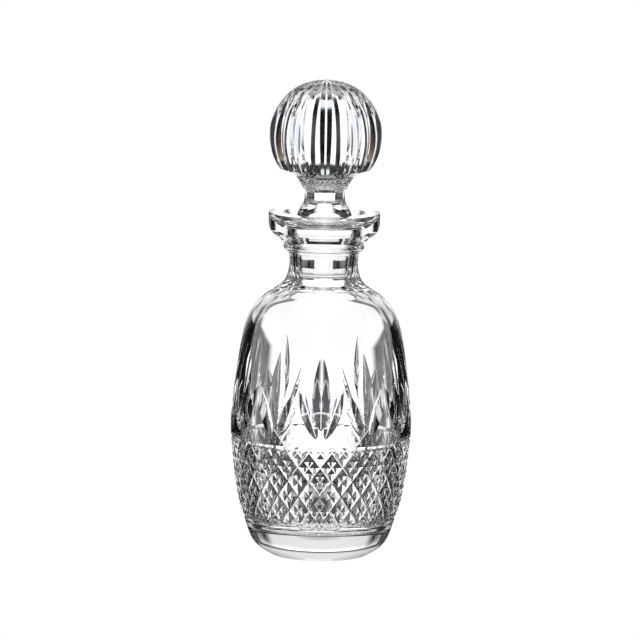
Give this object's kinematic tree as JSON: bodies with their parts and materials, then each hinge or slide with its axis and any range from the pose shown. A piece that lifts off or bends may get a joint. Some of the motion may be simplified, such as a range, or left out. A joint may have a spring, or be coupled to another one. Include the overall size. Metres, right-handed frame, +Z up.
{
  "type": "decanter",
  "caption": "Round-shouldered cut-glass decanter with a short flat-panelled neck, a flared drip cup and a lift-out ball stopper on a tapered ground plug.",
  "frame": {"origin": "centre of the foot, on the surface that the bottle stands on", "axes": "+Z up along the bottle's axis, through the stopper; -Y is the front, where a fan of the cut pattern is centred"},
  "size_m": [0.101, 0.101, 0.2673],
  "materials": {
    "bottle_crystal": "polished clear lead crystal",
    "stopper_crystal": "polished clear lead crystal, cut and polished"
  },
  "bodies": {
    "bottle": {"bottle": "bottle_crystal"},
    "stopper": {"stopper": "stopper_crystal"}
  },
  "joints": [
    {"name": "stopper_lift", "type": "slide", "parent": "bottle", "child": "stopper", "axis": [0, 0, 1], "range_m": [0, 0.06]}
  ]
}
